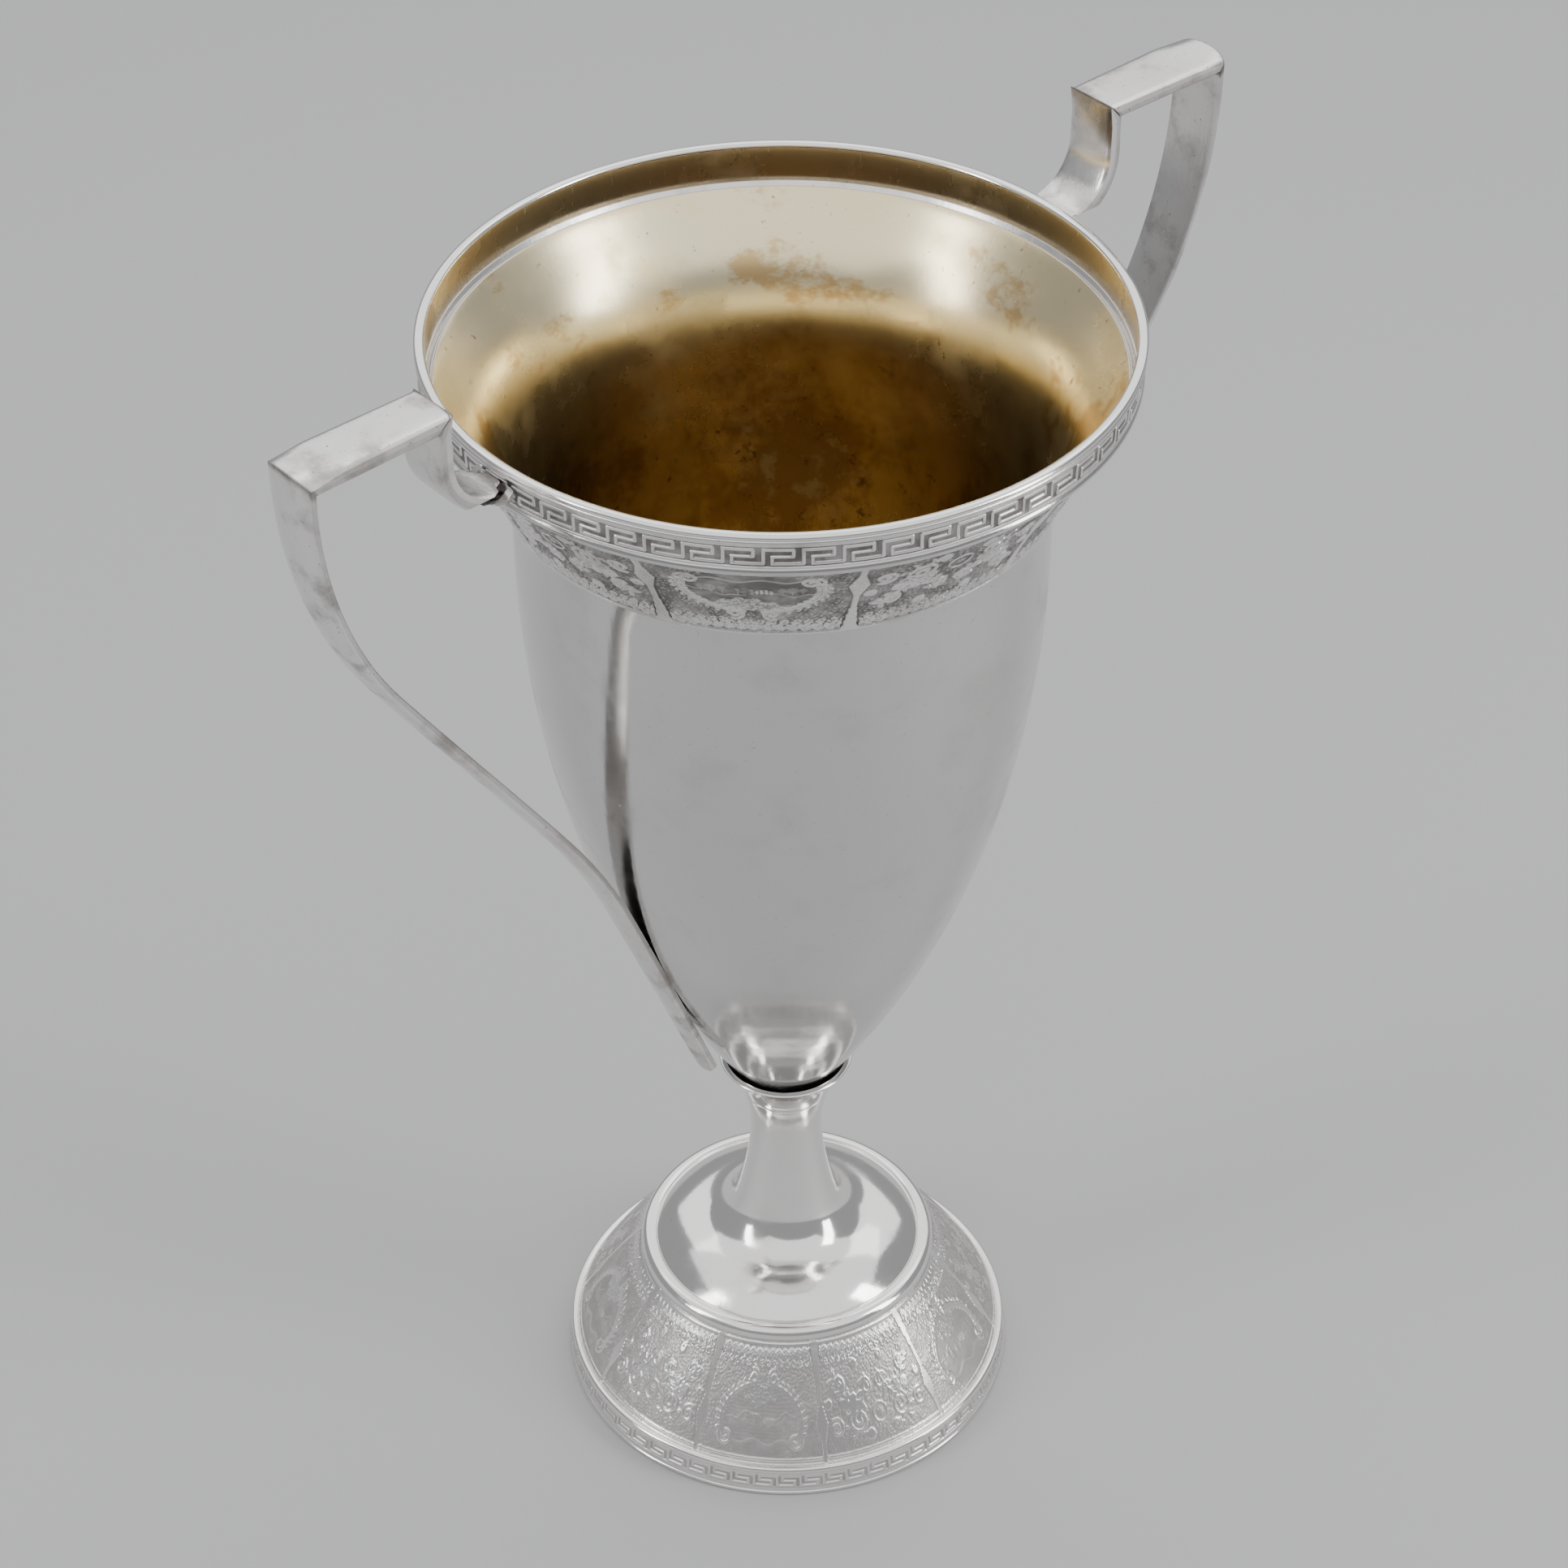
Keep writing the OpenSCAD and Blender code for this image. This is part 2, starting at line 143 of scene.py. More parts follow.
def turn_between(u, v):
    """The angle in degrees between two directions."""
    cosine = float(u @ v) / (np.linalg.norm(u) * np.linalg.norm(v))
    return math.degrees(math.acos(max(-1.0, min(1.0, cosine))))


def smoothed(points, closed, step, corner=CORNER):
    """Points along a Catmull-Rom curve that keeps each turn sharper than corner degrees."""
    n = len(points)
    result = []
    spans = n if closed else n - 1

    def sharp(i):
        if not closed and (i <= 0 or i >= n - 1):
            return True
        a, b, c = points[(i - 1) % n], points[i % n], points[(i + 1) % n]
        return turn_between(b - a, c - b) > corner

    for i in range(spans):
        p1, p2 = points[i % n], points[(i + 1) % n]
        p0 = points[(i - 1) % n] if not sharp(i) else 2 * p1 - p2
        p3 = points[(i + 2) % n] if not sharp(i + 1) else 2 * p2 - p1
        length = np.linalg.norm(p2 - p1)
        # a neighbour span of a very different length would make the curve overshoot
        p0 = p1 - (p1 - p0) / max(np.linalg.norm(p1 - p0), 1e-9) * length
        p3 = p2 + (p3 - p2) / max(np.linalg.norm(p3 - p2), 1e-9) * length
        count = max(1, int(math.ceil(length / (step(p1, p2) if callable(step) else step))))
        for k in range(count):
            t = k / count
            result.append(0.5 * (2 * p1 + (p2 - p0) * t + (2 * p0 - 5 * p1 + 4 * p2 - p3) * t * t
                                 + (3 * p1 - p0 - 3 * p2 + p3) * t ** 3))
    if not closed:
        result.append(points[-1])
    return np.array(result)


def eased(points, r, corner=CORNER):
    """Cuts each sharp corner of a closed outline back by r, with a small round."""
    n = len(points)
    result = []
    for i in range(n):
        a, b, c = points[i - 1], points[i], points[(i + 1) % n]
        u, v = b - a, c - b
        lu, lv = np.linalg.norm(u), np.linalg.norm(v)
        if turn_between(u, v) <= corner:
            result.append(b)
            continue
        cut = min(r, lu * 0.4, lv * 0.4)
        p, q = b - u / lu * cut, b + v / lv * cut
        for k in range(5):
            t = k / 4
            result.append((1 - t) ** 2 * p + 2 * t * (1 - t) * b + t * t * q)
    return np.array(result)


# --- Meshes ---
def new_piece(name, vertices, faces, nodes, materials, relief=None, face_materials=None,
              sharp=None):
    """A mesh kept inside the CAD's box, with the height of its ornament as a point attribute."""
    mesh = bpy.data.meshes.new(name)
    kept = np.clip(np.asarray(vertices, float), np.array(cad_box[0]), np.array(cad_box[1]))
    mesh.from_pydata(kept.tolist(), [], faces)
    mesh.update()
    for m in materials:
        mesh.materials.append(m)
    mesh.polygons.foreach_set("use_smooth", [True] * len(mesh.polygons))
    if face_materials is not None:
        mesh.polygons.foreach_set("material_index", face_materials)
    if relief is not None:
        layer = mesh.attributes.new("relief", "FLOAT", "POINT")
        layer.data.foreach_set("value", np.asarray(relief, dtype=np.float32))
    piece = bpy.data.objects.new(name, mesh)
    bpy.context.scene.collection.objects.link(piece)
    if sharp is not None:
        mesh.set_sharp_from_angle(angle=math.radians(sharp))
    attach(piece, "root")
    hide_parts(*nodes)
    return piece


def turned(name, node, materials, outline, around=360, height=None, inner_from=None, sharp=40):
    """A closed outline turned about Z. height(i, angle) lowers the surface along its normal, and
    outline points whose index lies in inner_from take the second material."""
    n = len(outline)
    angles = np.arange(around) * TURN / around
    tangent = np.roll(outline, -1, axis=0) - np.roll(outline, 1, axis=0)
    tangent /= np.maximum(np.linalg.norm(tangent, axis=1, keepdims=True), 1e-9)
    normal = np.stack([tangent[:, 1], -tangent[:, 0]], axis=1)
    radius = np.repeat(outline[:, 0][None, :], around, axis=0)
    z = np.repeat(outline[:, 1][None, :], around, axis=0)
    relief = np.ones((around, n))
    if height is not None:
        sunk, relief = height(angles, outline)
        radius = radius - sunk * normal[:, 0][None, :]
        z = z - sunk * normal[:, 1][None, :]
    c, s = np.cos(angles)[:, None], np.sin(angles)[:, None]
    vertices = np.stack([radius * c, radius * s, z], axis=2).reshape(-1, 3)
    i = np.arange(around)[:, None]
    j = np.arange(n)[None, :]
    i2, j2 = (i + 1) % around, (j + 1) % n
    quads = np.stack([i * n + j, i2 * n + j, i2 * n + j2, i * n + j2], axis=2).reshape(-1, 4)
    which = None
    if inner_from is not None:
        which = np.tile(inner_from.astype(int), around).tolist()
    return new_piece(name, vertices, quads.tolist(), [node], materials,
                     relief.reshape(-1), which, sharp)


# --- Materials ---
def metal(name, base, dark, tarnish, rough, scale=60.0, amount=0.35, scratch=0.25,
          relief_dark=None, bump=0.06, deep=None):
    """Polished or timeworn plate: clouds of tarnish, fine scratches, smudges and small pits; with deep given,
    painted shade deeper inside a bowl, patched with real stains.
    """
    mat = bpy.data.materials.new(name)
    mat.use_nodes = True
    nodes, links = mat.node_tree.nodes, mat.node_tree.links
    shader = nodes["Principled BSDF"]
    shader.inputs["Metallic"].default_value = 1.0
    where = nodes.new("ShaderNodeTexCoord").outputs["Object"]

    def noise(size, detail, squash=(1, 1, 1), roughness=0.6):
        move = nodes.new("ShaderNodeMapping")
        move.inputs["Scale"].default_value = squash
        links.new(where, move.inputs["Vector"])
        tex = nodes.new("ShaderNodeTexNoise")
        tex.inputs["Scale"].default_value = size
        tex.inputs["Detail"].default_value = detail
        tex.inputs["Roughness"].default_value = roughness
        links.new(move.outputs["Vector"], tex.inputs["Vector"])
        return tex.outputs["Fac"]

    def ramp(value, low, high, a=0.0, b=1.0):
        r = nodes.new("ShaderNodeMapRange")
        r.interpolation_type = "SMOOTHSTEP"
        for key, v in (("From Min", low), ("From Max", high), ("To Min", a), ("To Max", b)):
            r.inputs[key].default_value = v
        links.new(value, r.inputs["Value"])
        return r.outputs["Result"]

    def mix(fac, a, b):
        m = nodes.new("ShaderNodeMix")
        m.data_type = "RGBA"
        links.new(fac, m.inputs["Factor"])
        for socket, v in ((m.inputs[6], a), (m.inputs[7], b)):
            if isinstance(v, tuple):
                socket.default_value = (*v, 1.0)
            else:
                links.new(v, socket)
        return m.outputs[2]

    def add(a, b, kind="ADD"):
        m = nodes.new("ShaderNodeMath")
        m.operation = kind
        for socket, v in zip(m.inputs, (a, b)):
            if isinstance(v, (int, float)):
                socket.default_value = v
            else:
                links.new(v, socket)
        return m.outputs[0]

    clouds = ramp(noise(scale, 7.0), 0.50, 0.72)
    broad = ramp(noise(scale * 0.25, 4.0), 0.42, 0.68)
    specks = ramp(noise(scale * 14, 3.0), 0.66, 0.74)
    colour = mix(add(clouds, amount, "MULTIPLY"), base, dark)
    colour = mix(add(broad, amount * 0.5, "MULTIPLY"), colour, tarnish)
    colour = mix(add(specks, amount, "MULTIPLY"), colour, tuple(0.35 * v for v in dark))
    if deep is not None:
        # deep = (colour, stain, height where it starts, height where it is full): painted shade deeper inside
        # the bowl, its colour broken by darker real stains, olive patches and flecks
        place = nodes.new("ShaderNodeSeparateXYZ")
        links.new(where, place.inputs["Vector"])
        ragged = add(place.outputs["Z"], add(add(noise(55.0, 6.0), -0.5), 0.075, "MULTIPLY"))
        below = ramp(ragged, deep[3], deep[2], 1.0, 0.0)
        stains = ramp(noise(38.0, 8.0, (1, 1, 0.8), 0.7), 0.44, 0.60)
        olive = ramp(noise(64.0, 8.0, (1, 1, 1), 0.75), 0.52, 0.62)
        flecks = ramp(noise(240.0, 6.0, (1, 1, 1), 0.7), 0.60, 0.66)
        # painted shade down inside the bowl, mixed with real stains and olive patches
        stains_and_painted_shade = mix(add(olive, 0.7, "MULTIPLY"), mix(stains, deep[0], deep[1]), (0.52, 0.47, 0.30))
        colour = mix(below, colour, mix(add(flecks, 0.7, "MULTIPLY"), stains_and_painted_shade, (0.14, 0.10, 0.06)))
        near_lip = ramp(noise(26.0, 7.0, (1, 1, 1.6), 0.65), 0.56, 0.63)
        colour = mix(add(near_lip, add(1.0, below, "SUBTRACT"), "MULTIPLY"), colour, (0.70, 0.50, 0.24))
    roughness = add(add(clouds, 0.16, "MULTIPLY"), rough)
    if relief_dark is not None:
        attribute = nodes.new("ShaderNodeAttribute")
        attribute.attribute_name = "relief"
        hollow = ramp(attribute.outputs["Fac"], 0.26, 0.74, 1.0, 0.0)
        patchy = add(hollow, ramp(noise(scale * 2.2, 5.0), 0.3, 0.65, 0.62, 1.0), "MULTIPLY")
        colour = mix(add(patchy, 0.95, "MULTIPLY"), colour, relief_dark)
        roughness = add(add(patchy, 0.22, "MULTIPLY"), roughness)
    fine = noise(900.0, 3.0, (1.0, 1.0, 0.12))
    roughness = add(add(fine, scratch * 0.2, "MULTIPLY"), roughness)
    links.new(colour, shader.inputs["Base Color"])
    links.new(roughness, shader.inputs["Roughness"])
    bumps = nodes.new("ShaderNodeBump")
    bumps.inputs["Strength"].default_value = bump
    bumps.inputs["Distance"].default_value = 0.0002
    links.new(add(add(noise(scale * 3, 6.0), fine), specks, "SUBTRACT"), bumps.inputs["Height"])
    links.new(bumps.outputs["Normal"], shader.inputs["Normal"])
    return mat


# The bowl and neck ring take a darker copy of the bright silver: painted shade standing in for dark
# reflections, with real tarnish clouds on it
SILVER_PAINTED_DARK = (0.66, 0.65, 0.64)
polished = metal("polished_silver", SILVER_PAINTED_DARK, (0.50, 0.485, 0.47), (0.58, 0.55, 0.51), 0.10, amount=0.3)
bright = metal("bright_silver", (0.90, 0.88, 0.86), (0.70, 0.66, 0.62), (0.82, 0.75, 0.68), 0.09, amount=0.18)
ornament = metal("ornament_silver", (0.80, 0.785, 0.77), (0.46, 0.43, 0.41), (0.60, 0.545, 0.52), 0.22,
                 scale=90.0, amount=0.5, relief_dark=(0.17, 0.155, 0.15), bump=0.12)
worn_ornament = metal("worn_ornament_silver", (0.86, 0.84, 0.825), (0.60, 0.56, 0.54), (0.72, 0.66, 0.63),
                      0.22, scale=90.0, amount=0.5, relief_dark=(0.50, 0.47, 0.455), bump=0.12)
handle_metal = metal("handle_silver", (0.80, 0.785, 0.77), (0.30, 0.275, 0.26), (0.54, 0.49, 0.45), 0.20,
                     scale=85.0, amount=0.85, relief_dark=(0.16, 0.145, 0.135), bump=0.2)
neck_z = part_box("panel_band_mouth")[0].z
# The gilt inside the bowl turns to painted shade from the neck down, with real stains in it; above that it is
# worn gilt
gilt = metal("gilt_worn_and_painted_shade", (0.92, 0.81, 0.54), (0.74, 0.58, 0.28), (0.84, 0.66, 0.32), 0.23, scale=32.0,
             amount=0.7, scratch=0.1, bump=0.04,
             deep=((0.62, 0.50, 0.28), (0.36, 0.255, 0.135), neck_z + 0.002, neck_z - 0.030))
gilt_rim = metal("gilt_rim", (0.68, 0.60, 0.45), (0.34, 0.27, 0.18), (0.52, 0.40, 0.25), 0.24,
                 scale=60.0, amount=0.7)
brass = metal("fitting_brass", (0.72, 0.54, 0.27), (0.40, 0.27, 0.12), (0.50, 0.38, 0.22), 0.3, amount=0.6)
steel = metal("fitting_steel", (0.45, 0.45, 0.46), (0.22, 0.20, 0.19), (0.33, 0.27, 0.22), 0.35, amount=0.6)


# --- Ornament, as heights from 0 in the ground to 1 on the relief ---
def bump_line(distance, half_width, soft):
    return np.clip((half_width + soft - distance) / soft, 0.0, 1.0)


def near_path(x, y, path):
    """Least distance from each (x, y) to a path of points."""
    best = np.full(x.shape, 1e9)
    for a, b in zip(path[:-1], path[1:]):
        d = b - a
        t = np.clip(((x - a[0]) * d[0] + (y - a[1]) * d[1]) / max(float(d @ d), 1e-12), 0, 1)
        best = np.minimum(best, np.hypot(x - a[0] - t * d[0], y - a[1] - t * d[1]))
    return best


def key_height(angles, z, low, high, radius, start, flip):
    """One running Greek key: an angular raised line on a hatched ground."""
    unit = TURN / (PANELS * KEYS_PER_PANEL)
    wide = unit * radius / MM
    tall = (high - low) / MM
    u = ((angles - start) / unit) % 1.0
    x, y = np.meshgrid(u * wide, (z - low) / MM, indexing="ij")
    if flip:
        y = tall - y
    bottom, top = tall * 0.20, tall * 0.80
    middle = (bottom + top) / 2
    hook, turn_back = 0.75 * wide, 0.22 * wide
    line_half, edge_in, edge_half = 0.28, 0.28, 0.18
    hatch_pitch, hatch_height = 0.55, 0.16
    path = np.array([(0, bottom), (0, top), (hook, top), (hook, middle), (turn_back, middle),
                     (turn_back, bottom), (wide, bottom), (wide, top)])
    line = bump_line(np.minimum(near_path(x, y, path), near_path(x + wide, y, path)), line_half, 0.16)
    hatch = hatch_height * (0.5 + 0.5 * np.sin((x + y) * TURN / hatch_pitch))
    margin = bump_line(np.minimum(np.abs(y - edge_in), np.abs(tall - edge_in - y)), edge_half, 0.14)
    return np.maximum(np.maximum(line, hatch), margin)


def spiral(cx, cy, r0, r1, a0, a1, n=22):
    t = np.linspace(0, 1, n)
    r = r0 + (r1 - r0) * t
    a = np.radians(a0 + (a1 - a0) * t)
    return np.stack([cx + r * np.cos(a), cy + r * np.sin(a)], axis=1)


def both_ways(path):
    return [path, path * np.array([-1, 1])]


def leaflet(x, y, cx, cy, angle, long, wide):
    """A small pointed leaf with a vein, its base at (cx, cy)."""
    c, t = math.cos(angle), math.sin(angle)
    u, v = (x - cx) * c + (y - cy) * t, -(x - cx) * t + (y - cy) * c
    w = wide * np.clip(np.sin(np.clip(u / long, 0, 1) * math.pi), 0, 1) ** 0.8
    body = bump_line(np.abs(v) - w, 0.0, 0.16) * (u > 0) * (u < long)
    return body * (0.95 - 0.4 * bump_line(np.abs(v), 0.02, 0.10))


def spray(h, x, y, path, long, wide, every=2, spread=0.9):
    """Leaflets along both sides of a path, leaning towards its end."""
    for i in range(1, len(path) - 1, every):
        d = path[i + 1] - path[i - 1]
        a = math.atan2(d[1], d[0])
        for side in (-1, 1):
            for mirror in (1, -1):
                angle = a + side * spread
                if mirror < 0:
                    angle = math.pi - angle
                h = np.maximum(h, leaflet(x, y, mirror * path[i][0], path[i][1], angle, long, wide))
    return h


def foliage(x, y):
    """Fine, worn leafage that fills the ground."""
    a = x * 2.6 + 2.3 * np.sin(y * 1.2 + 0.9 * np.sin(x * 0.8))
    b = y * 2.9 + 2.1 * np.sin(x * 1.3 + 1.1 * np.sin(y * 0.9))
    veins = 0.5 + 0.5 * np.sin(2.0 * a + 1.4 * np.sin(b))
    return 0.62 * np.clip(np.sin(a) * np.sin(b) * 1.6 + 0.3, 0, 1) + 0.38 * veins


# Trees of the landscape (place across, radius) and small curls of the scrolls (place, radius)
TREES = ((-9.3, 1.3), (-7.4, 1.7), (-5.3, 1.2), (-2.4, 0.8), (5.8, 1.3), (7.7, 1.8), (9.6, 1.2), (0.2, 0.7))
CURLS = ((-4.6, 23.8, 1.5), (-11.4, 15.4, 1.4), (-17.2, 14.6, 1.2), (-8.2, 14.2, 1.1), (-5.4, 6.8, 1.3))


def panel_pattern(x, y, kind):
    """Generic scroll ornament on a panel: x is 0 at its middle, y from 0 to PANEL_H up."""
    h = 0.08 + 0.50 * foliage(1.25 * x, 1.25 * y)
    if kind == 0:
        # a broad open scroll round a small landscape
        view_y, view_half_w, view_half_h = 18.6, 12.6, 8.6
        inside = ((x / view_half_w) ** 2 + ((y - view_y) / view_half_h) ** 2) < 1
        hills = 17.2 + 1.0 * np.sin(x * 0.5 + 0.4) + 0.4 * np.sin(x * 1.4)
        calm = 0.14 + 0.10 * (y < hills) + 0.06 * np.sin(y * 7 + 0.5 * np.sin(x))
        calm = np.maximum(calm, 0.6 * bump_line(np.abs(y - hills), 0.10, 0.18))
        house = (np.abs(x - 2.6) < 1.6) * (y > 17.4) * (y < 19.6 - 0.5 * np.abs(x - 2.6))
        calm = np.maximum(calm, house * (0.55 + 0.3 * np.sin(x * 7)))
        banks = 13.6 + 1.6 * np.sin(x * 0.33 + 2.0) + 0.5 * np.sin(x * 1.9)
        calm = np.maximum(calm, (y < banks) * (0.35 + 0.5 * foliage(1.4 * x, 1.4 * y)))
        calm = np.maximum(calm, 0.5 * bump_line(np.abs(y - 23.4 - 0.7 * np.sin(x * 0.7)), 0.3, 0.6))
        for tx, tr in TREES:
            crown = bump_line(np.hypot(x - tx, (y - 19.0) * 0.8), tr * 0.55, tr * 0.5)
            calm = np.maximum(calm, crown * (0.45 + 0.25 * np.sin(x * 8) * np.sin(y * 8)))
            calm = np.maximum(calm, 0.5 * bump_line(np.abs(x - tx), 0.08, 0.1) * (y > 16.6) * (y < 18.4))
        h = np.where(inside, calm, h)
        t = np.radians(np.linspace(158, 262, 34))
        sweep = np.stack([13.6 * np.cos(t), 18.4 + 9.4 * np.sin(t)], axis=1)
        lines = [sweep, sweep * 0.93 + np.array([0, 1.3]),
                 spiral(-11.2, 22.6, 2.3, 0.5, 200, -330, 24),
                 spiral(-3.6, 8.0, 1.9, 0.4, 250, 720, 24)]
        h = spray(h, x, y, sweep, 2.2, 0.42, 3)
    else:
        # scrolls and leafage round a small boss
        t = np.linspace(0, 1, 30)
        sweep = np.stack([-2.6 - 12.0 * t, 10.0 + 5.5 * np.sin(t * 4.2) + 4.0 * t], axis=1)
        lines = [sweep,
                 spiral(-7.6, 19.8, 3.4, 0.5, 260, -380, 30),
                 spiral(-15.2, 20.6, 2.4, 0.4, 240, 800, 26),
                 spiral(-2.8, 12.6, 2.0, 0.4, 250, 780, 24),
                 spiral(-12.6, 10.6, 2.2, 0.4, 90, -420, 24)]
        h = spray(h, x, y, sweep, 2.9, 0.55, 3)
        h = spray(h, x, y, spiral(-7.6, 19.8, 3.9, 3.9, 60, 300, 18), 1.8, 0.36, 3)
        for cx, cy, r in CURLS:
            lines.append(spiral(cx, cy, r, 0.25, 200, -420, 18))
        boss_y, boss_r = 19.5, 2.6
        disc = np.hypot(x, y - boss_y)
        petals = 0.5 + 0.3 * np.cos(6 * np.arctan2(x, y - boss_y))
        h = np.where(disc < boss_r, 0.15, h)
        h = np.maximum(h, 0.9 * bump_line(np.abs(disc - (boss_r - 0.2)), 0.12, 0.2))
        h = np.maximum(h, petals * bump_line(disc, 0.8, 0.6))
    for path in lines:
        for one in both_ways(path):
            h = np.maximum(h, bump_line(near_path(x, y, one), 0.26, 0.28))
    for i in range(-7, 8):
        # leaves and curls along the lower edge
        cx, lean = i * 2.5, math.radians(90 - 6 * i)
        for turn, long in ((0, 3.6), (0.6, 2.7), (-0.6, 2.7)):
            h = np.maximum(h, leaflet(x, y, cx, 1.6, lean + turn, long, 0.55))
        curl = near_path(x, y, spiral(cx + 1.25, 5.2, 1.0, 0.25, 200, 620 if i % 2 else 560, 16))
        h = np.maximum(h, 0.85 * bump_line(curl, 0.14, 0.2))
    return h


def panel_height(angles, up, start):
    """Ten panels round a strip, two kinds in turn, with a smooth pilaster between them."""
    pitch = TURN / PANELS
    h = np.zeros((len(angles), len(up)))
    turn = (angles - start) / pitch
    x, y = np.meshgrid((turn % 1.0 - 0.5) * PANEL_W, up * PANEL_H, indexing="ij")
    kind = (np.floor(turn).astype(int) + 1) % 2
    for k in (0, 1):
        rows = np.where(kind == k)[0]
        if len(rows):
            h[rows] = panel_pattern(x[rows], y[rows], k)
    edge = PANEL_W / 2 - np.abs(x)
    v = y / PANEL_H
    # pilaster: narrow at the top, a lozenge in the upper third, a waist, and a wide foot
    lozenge = np.clip(1 - np.abs(v - 0.68) / 0.16, 0, 1)
    foot = np.clip((0.35 - v) / 0.35, 0, 1)
    half = 0.7 + 1.3 * lozenge + 1.1 * foot
    h = np.where(edge < half, 0.9, np.where(edge < half + 0.45, 0.05, h))
    frame_line = np.minimum(y - 0.7, PANEL_H - 0.8 - y)
    h = np.maximum(h, 0.95 * bump_line(np.abs(frame_line), 0.22, 0.3))
    return np.clip(h, 0, 1)


# --- Build: turned pieces ---
def outward(outline):
    """How far each outline point's normal leans outward, from -1 to 1."""
    along = np.roll(outline, -1, axis=0) - np.roll(outline, 1, axis=0)
    return along[:, 1] / np.maximum(np.linalg.norm(along, axis=1), 1e-9)


def fine(node, step=0.0012, ease=0.00025):
    outline = turned_outline(node)
    if outline[0, 0] < 0.005 and node == "bowl":
        outline = np.vstack([[0, outline[0, 1]], outline, [0, outline[-1, 1]]])
    return smoothed(eased(outline, ease), True, step)


def strip(node, z_low, z_high, step):
    """A band's outline, with close points on its outer face between two heights."""
    def spacing(p1, p2):
        face = p2[1] > p1[1] and min(p1[1], p2[1]) > z_low - 0.003 and max(p1[1], p2[1]) < z_high + 0.003
        return step if face else 0.0015
    outline = smoothed(eased(turned_outline(node), 0.00012), True, spacing)
    acts = (outward(outline) > 0.3) & (outline[:, 1] > z_low) & (outline[:, 1] < z_high)
    return outline, acts


def sunk_by(acts, depth, pattern):
    def height(angles, outline):
        h = np.ones((len(angles), len(outline)))
        h[:, acts] = pattern(angles, outline[acts])
        return depth * (1 - h), h
    return height


bowl_line = fine("bowl", 0.0022)
# The outline climbs the outside to the lip and comes back down the inside, which is gilt
bowl_inner = np.arange(len(bowl_line)) > np.argmax(bowl_line[:, 1])
turned("cup_bowl", "bowl", [polished, gilt], bowl_line, BOWL_ROUND, None, bowl_inner)


def panel_strip(name, node, material, low, high, relief, start, flip, start_at=None):
    """A strip of ten panels between two heights; flip turns the pattern upside down."""
    def pattern(angles, face):
        up = (high - face[:, 1]) if flip else (face[:, 1] - low)
        return panel_height(angles, up / (high - low), start)
    line, acts = strip(node, low if start_at is None else start_at, high, PANEL_STEP)
    turned(name, node, [material], line, PANEL_ROUND, sunk_by(acts, relief, pattern))


def key_strip(name, node, materials, low, high, step, around, relief, flip, inner=False):
    """A strip with a running key between two heights; inner gives its inside the second material."""
    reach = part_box(node)[1].x
    line, acts = strip(node, low, high, step)
    turned(name, node, materials, line, around,
           sunk_by(acts, relief, lambda a, q: key_height(a, q[:, 1], low, high, reach, KEY_START, flip)),
           outward(line) < -0.3 if inner else None)


panel_box, wire_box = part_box("panel_band_mouth"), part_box("neck_wire")
panel_strip("mouth_panels", "panel_band_mouth", ornament, panel_box[0].z, wire_box[0].z, MOUTH_RELIEF,
            MOUTH_DIVIDER, False, panel_box[0].z + 0.0004)
key_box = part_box("key_band_mouth")
key_strip("mouth_key_border", "key_band_mouth", [ornament, gilt_rim], wire_box[1].z, key_box[1].z - REED_H,
          MOUTH_KEY_STEP, MOUTH_KEY_ROUND, MOUTH_KEY_RELIEF, False, True)
panel_strip("foot_panels", "panel_band_skirt", worn_ornament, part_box("skirt_wire")[1].z,
            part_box("panel_band_skirt")[1].z, SKIRT_RELIEF, FOOT_DIVIDER, True)
base_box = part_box("key_band_base")
key_strip("foot_key_border", "key_band_base", [worn_ornament], base_box[0].z + 0.0007, base_box[1].z - 0.0004,
          BASE_KEY_STEP, BASE_KEY_ROUND, BASE_KEY_RELIEF, True)

for name, node, mat in (("rim_ring", "rim_wire", bright), ("neck_ring", "neck_wire", polished),
                        ("calyx_cup", "calyx", bright), ("stem_and_dome", "stem_trumpet", bright),
                        ("foot_bead_ring", "foot_bead", bright), ("skirt_ring", "skirt_wire", bright),
                        ("edge_ring", "foot_edge_wire", bright)):
    step = 0.0008 if "ring" in name else 0.0014
    turned(name, node, [mat], fine(node, step), RING_ROUND)


# --- Build: handles ---
def side_outline(node):
    """A handle piece's outline in the plane of the handles, and its half width at each point."""
    points, faces = node_mesh(node)
    flat = [(round(abs(float(p[0])), 5), round(float(p[2]), 5)) for p in points]
    half = {}
    for f, p in zip(flat, points):
        half[f] = max(half.get(f, 0.0), abs(float(p[1])))
    pairs = set()
    for corners, normal in faces:
        if abs(normal[1]) > 0.5:
            continue
        for i, a in enumerate(corners):
            b = corners[i - 1]
            if flat[a] != flat[b]:
                pairs.add(tuple(sorted((flat[a], flat[b]))))
    outline = ring(pairs)
    return np.array(outline), np.array([half[k] for k in outline])


